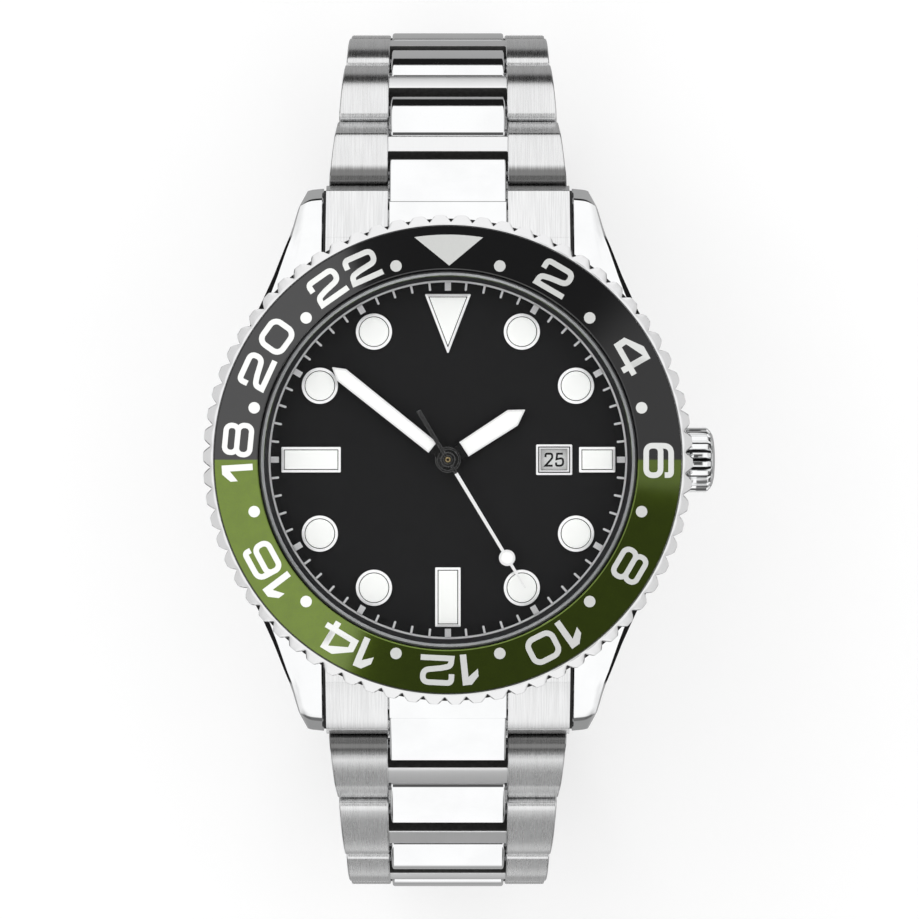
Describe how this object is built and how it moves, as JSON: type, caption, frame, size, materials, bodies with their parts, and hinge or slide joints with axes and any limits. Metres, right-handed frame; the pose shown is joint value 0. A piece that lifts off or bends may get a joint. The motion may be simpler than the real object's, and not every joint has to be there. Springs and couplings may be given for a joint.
{
  "type": "dive watch",
  "caption": "Steel dive watch with a black dial, luminous markers and hands, date window, black and green hour bezel, fluted crown, link bracelet and folding clasp.",
  "frame": {"origin": "on the axis of the hands, on the flat outer face of the case back", "axes": "+Z the way the dial faces, +Y towards 12 o'clock, +X towards the crown"},
  "size_m": [0.0452, 0.0806, 0.0556],
  "materials": {
    "steel_polished": "polished stainless steel",
    "steel_satin": "satin stainless steel, brushed along the bracelet",
    "steel_plain": "plain bright steel",
    "insert": "anodised insert, black upper half and olive green lower half with white scale",
    "crystal": "clear mineral glass",
    "gasket_white": "nylon gasket",
    "gasket_black": "black rubber ring",
    "dial_surround": "black painted flange",
    "dial_black": "fine matt black with white luminous markers in polished frames",
    "date_ring": "silver grey with black numerals",
    "hand_white": "white luminous fill, black at the hub",
    "brass": "plain brass",
    "holder_plastic": "off-white moulded plastic"
  },
  "bodies": {
    "case": {"case_middle": "steel_polished", "case_back": "steel_satin", "case_back_gasket": "gasket_black", "bezel_click_spring": "steel_plain", "crystal": "crystal", "crystal_gasket": "gasket_white", "rehaut_ring": "dial_surround", "dial": "dial_black", "movement_plate": "brass", "movement_holder": "holder_plastic", "battery": "steel_plain", "crown_tube": "steel_plain", "end_link_12": "steel_satin", "end_link_6": "steel_satin", "spring_bar_12": "steel_plain", "spring_bar_6": "steel_plain"},
    "bezel": {"bezel_ring": "steel_polished", "bezel_insert": "insert"},
    "setting": {"setting_lever": "steel_plain"},
    "crown": {"crown": "steel_polished", "winding_stem": "steel_plain"},
    "date_disc": {"date_ring": "date_ring"},
    "minute": {"minute_hand": "hand_white", "cannon_pinion": "brass"},
    "hour": {"hour_hand": "hand_white", "hour_wheel": "brass"},
    "second": {"second_hand": "hand_white"},
    "button_crown_side": {"clasp_button_crown_side": "steel_satin"},
    "button_far_side": {"clasp_button_far_side": "steel_satin"},
    "clasp_cover": {"clasp_cover": "steel_satin"},
    "clasp_middle": {"clasp_middle_blade": "steel_plain"},
    "clasp_inner": {"clasp_inner_blade": "steel_plain"},
    "centre_12_1": {"centre_link_12_1": "steel_polished"},
    "outer_12_1": {"outer_link_12_1": "steel_satin"},
    "centre_12_2": {"centre_link_12_2": "steel_polished"},
    "outer_12_2": {"outer_link_12_2": "steel_satin"},
    "centre_12_3": {"centre_link_12_3": "steel_polished"},
    "outer_12_3": {"outer_link_12_3": "steel_satin"},
    "centre_12_4": {"centre_link_12_4": "steel_polished"},
    "outer_12_4": {"outer_link_12_4": "steel_satin"},
    "centre_12_5": {"centre_link_12_5": "steel_polished"},
    "outer_12_5": {"outer_link_12_5": "steel_satin"},
    "centre_12_6": {"centre_link_12_6": "steel_polished"},
    "outer_12_6": {"outer_link_12_6": "steel_satin"},
    "centre_12_7": {"centre_link_12_7": "steel_polished"},
    "outer_12_7": {"outer_link_12_7": "steel_satin"},
    "centre_6_1": {"centre_link_6_1": "steel_polished"},
    "outer_6_1": {"outer_link_6_1": "steel_satin"},
    "centre_6_2": {"centre_link_6_2": "steel_polished"},
    "outer_6_2": {"outer_link_6_2": "steel_satin"},
    "centre_6_3": {"centre_link_6_3": "steel_polished"},
    "outer_6_3": {"outer_link_6_3": "steel_satin"},
    "centre_6_4": {"centre_link_6_4": "steel_polished"},
    "outer_6_4": {"outer_link_6_4": "steel_satin"},
    "centre_6_5": {"centre_link_6_5": "steel_polished"},
    "outer_6_5": {"outer_link_6_5": "steel_satin"},
    "centre_6_6": {"centre_link_6_6": "steel_polished"},
    "outer_6_6": {"outer_link_6_6": "steel_satin"},
    "centre_6_7": {"centre_link_6_7": "steel_polished"},
    "outer_6_7": {"outer_link_6_7": "steel_satin"}
  },
  "joints": [
    {"name": "bezel_turn", "type": "hinge", "parent": "case", "child": "bezel", "pos_m": [0, 0, 0.0097], "axis": [0, 0, 1], "continuous": true},
    {"name": "clasp_middle_fold", "type": "hinge", "parent": "clasp_cover", "child": "clasp_middle", "pos_m": [0, 0.0173, -0.04227], "axis": [-1, 0, 0], "range_deg": [0, 85]},
    {"name": "clasp_inner_fold", "type": "hinge", "parent": "clasp_middle", "child": "clasp_inner", "pos_m": [0, -0.0155, -0.04167], "axis": [1, 0, 0], "range_deg": [0, 92]},
    {"name": "crown_pull", "type": "slide", "parent": "case", "child": "setting", "axis": [1, 0, 0], "range_m": [0, 0.0012]},
    {"name": "crown_turn", "type": "hinge", "parent": "setting", "child": "crown", "pos_m": [0, 0, 0.0046], "axis": [1, 0, 0], "continuous": true},
    {"name": "minute_hand_turn", "type": "hinge", "parent": "case", "child": "minute", "pos_m": [0, 0, 0.0085], "axis": [0, 0, -1], "continuous": true},
    {"name": "hour_hand_turn", "type": "hinge", "parent": "case", "child": "hour", "pos_m": [0, 0, 0.008], "axis": [0, 0, -1], "continuous": true},
    {"name": "second_hand_turn", "type": "hinge", "parent": "case", "child": "second", "pos_m": [0, 0, 0.00895], "axis": [0, 0, -1], "continuous": true},
    {"name": "date_ring_turn", "type": "hinge", "parent": "case", "child": "date_disc", "pos_m": [0, 0, 0.00635], "axis": [0, 0, 1], "continuous": true},
    {"name": "push_button_crown_side", "type": "slide", "parent": "clasp_cover", "child": "button_crown_side", "axis": [-1, 0, 0], "range_m": [0, 0.0007], "stiffness_N_per_m": 300},
    {"name": "push_button_far_side", "type": "slide", "parent": "clasp_cover", "child": "button_far_side", "axis": [1, 0, 0], "range_m": [0, 0.0007], "stiffness_N_per_m": 300},
    {"name": "pivot_12_01", "type": "hinge", "parent": "case", "child": "centre_12_1", "pos_m": [0, 0.0228, 0.003], "axis": [1, 0, 0], "range_deg": [0, 14]},
    {"name": "pivot_12_02", "type": "hinge", "parent": "centre_12_1", "child": "outer_12_1", "pos_m": [0, 0.02548, 0.00091], "axis": [1, 0, 0], "range_deg": [0, 4]},
    {"name": "pivot_12_03", "type": "hinge", "parent": "outer_12_1", "child": "centre_12_2", "pos_m": [0, 0.0294, -0.0025], "axis": [1, 0, 0], "range_deg": [0, 6]},
    {"name": "pivot_12_04", "type": "hinge", "parent": "centre_12_2", "child": "outer_12_2", "pos_m": [0, 0.03177, -0.00495], "axis": [1, 0, 0], "range_deg": [0, 7]},
    {"name": "pivot_12_05", "type": "hinge", "parent": "outer_12_2", "child": "centre_12_3", "pos_m": [0, 0.03497, -0.00905], "axis": [1, 0, 0], "range_deg": [0, 10]},
    {"name": "pivot_12_06", "type": "hinge", "parent": "centre_12_3", "child": "outer_12_3", "pos_m": [0, 0.03662, -0.01202], "axis": [1, 0, 0], "range_deg": [0, 11]},
    {"name": "pivot_12_07", "type": "hinge", "parent": "outer_12_3", "child": "centre_12_4", "pos_m": [0, 0.03831, -0.01694], "axis": [1, 0, 0], "range_deg": [0, 11]},
    {"name": "pivot_12_08", "type": "hinge", "parent": "centre_12_4", "child": "outer_12_4", "pos_m": [0, 0.03884, -0.0203], "axis": [1, 0, 0], "range_deg": [0, 15]},
    {"name": "pivot_12_09", "type": "hinge", "parent": "outer_12_4", "child": "centre_12_5", "pos_m": [0, 0.03839, -0.02548], "axis": [1, 0, 0], "range_deg": [0, 14]},
    {"name": "pivot_12_10", "type": "hinge", "parent": "centre_12_5", "child": "outer_12_5", "pos_m": [0, 0.03734, -0.02871], "axis": [1, 0, 0], "range_deg": [0, 13]},
    {"name": "pivot_12_11", "type": "hinge", "parent": "outer_12_5", "child": "centre_12_6", "pos_m": [0, 0.03474, -0.03321], "axis": [1, 0, 0], "range_deg": [0, 12]},
    {"name": "pivot_12_12", "type": "hinge", "parent": "centre_12_6", "child": "outer_12_6", "pos_m": [0, 0.03251, -0.03578], "axis": [1, 0, 0], "range_deg": [0, 12]},
    {"name": "pivot_12_13", "type": "hinge", "parent": "outer_12_6", "child": "centre_12_7", "pos_m": [0, 0.02841, -0.03898], "axis": [1, 0, 0], "range_deg": [0, 11]},
    {"name": "pivot_12_14", "type": "hinge", "parent": "centre_12_7", "child": "outer_12_7", "pos_m": [0, 0.02541, -0.04058], "axis": [1, 0, 0], "range_deg": [0, 10]},
    {"name": "pivot_6_01", "type": "hinge", "parent": "case", "child": "centre_6_1", "pos_m": [0, -0.0228, 0.003], "axis": [-1, 0, 0], "range_deg": [0, 14]},
    {"name": "pivot_6_02", "type": "hinge", "parent": "centre_6_1", "child": "outer_6_1", "pos_m": [0, -0.02548, 0.00091], "axis": [-1, 0, 0], "range_deg": [0, 4]},
    {"name": "pivot_6_03", "type": "hinge", "parent": "outer_6_1", "child": "centre_6_2", "pos_m": [0, -0.0294, -0.0025], "axis": [-1, 0, 0], "range_deg": [0, 6]},
    {"name": "pivot_6_04", "type": "hinge", "parent": "centre_6_2", "child": "outer_6_2", "pos_m": [0, -0.03177, -0.00495], "axis": [-1, 0, 0], "range_deg": [0, 7]},
    {"name": "pivot_6_05", "type": "hinge", "parent": "outer_6_2", "child": "centre_6_3", "pos_m": [0, -0.03497, -0.00905], "axis": [-1, 0, 0], "range_deg": [0, 10]},
    {"name": "pivot_6_06", "type": "hinge", "parent": "centre_6_3", "child": "outer_6_3", "pos_m": [0, -0.03662, -0.01202], "axis": [-1, 0, 0], "range_deg": [0, 11]},
    {"name": "pivot_6_07", "type": "hinge", "parent": "outer_6_3", "child": "centre_6_4", "pos_m": [0, -0.03831, -0.01694], "axis": [-1, 0, 0], "range_deg": [0, 11]},
    {"name": "pivot_6_08", "type": "hinge", "parent": "centre_6_4", "child": "outer_6_4", "pos_m": [0, -0.03884, -0.0203], "axis": [-1, 0, 0], "range_deg": [0, 15]},
    {"name": "pivot_6_09", "type": "hinge", "parent": "outer_6_4", "child": "centre_6_5", "pos_m": [0, -0.03839, -0.02548], "axis": [-1, 0, 0], "range_deg": [0, 14]},
    {"name": "pivot_6_10", "type": "hinge", "parent": "centre_6_5", "child": "outer_6_5", "pos_m": [0, -0.03734, -0.02871], "axis": [-1, 0, 0], "range_deg": [0, 13]},
    {"name": "pivot_6_11", "type": "hinge", "parent": "outer_6_5", "child": "centre_6_6", "pos_m": [0, -0.03474, -0.03321], "axis": [-1, 0, 0], "range_deg": [0, 12]},
    {"name": "pivot_6_12", "type": "hinge", "parent": "centre_6_6", "child": "outer_6_6", "pos_m": [0, -0.03251, -0.03578], "axis": [-1, 0, 0], "range_deg": [0, 12]},
    {"name": "pivot_6_13", "type": "hinge", "parent": "outer_6_6", "child": "centre_6_7", "pos_m": [0, -0.02841, -0.03898], "axis": [-1, 0, 0], "range_deg": [0, 11]},
    {"name": "pivot_6_14", "type": "hinge", "parent": "centre_6_7", "child": "outer_6_7", "pos_m": [0, -0.02541, -0.04058], "axis": [-1, 0, 0], "range_deg": [0, 10]},
    {"name": "pivot_6_15_clasp", "type": "hinge", "parent": "outer_6_7", "child": "clasp_cover", "pos_m": [0, -0.02049, -0.04227], "axis": [-1, 0, 0], "range_deg": [0, 20]}
  ],
  "couplings": [
    {"joint": "hour_hand_turn", "follows": "minute_hand_turn", "ratio": 0.083333},
    {"joint": "second_hand_turn", "follows": "minute_hand_turn", "ratio": 60}
  ]
}
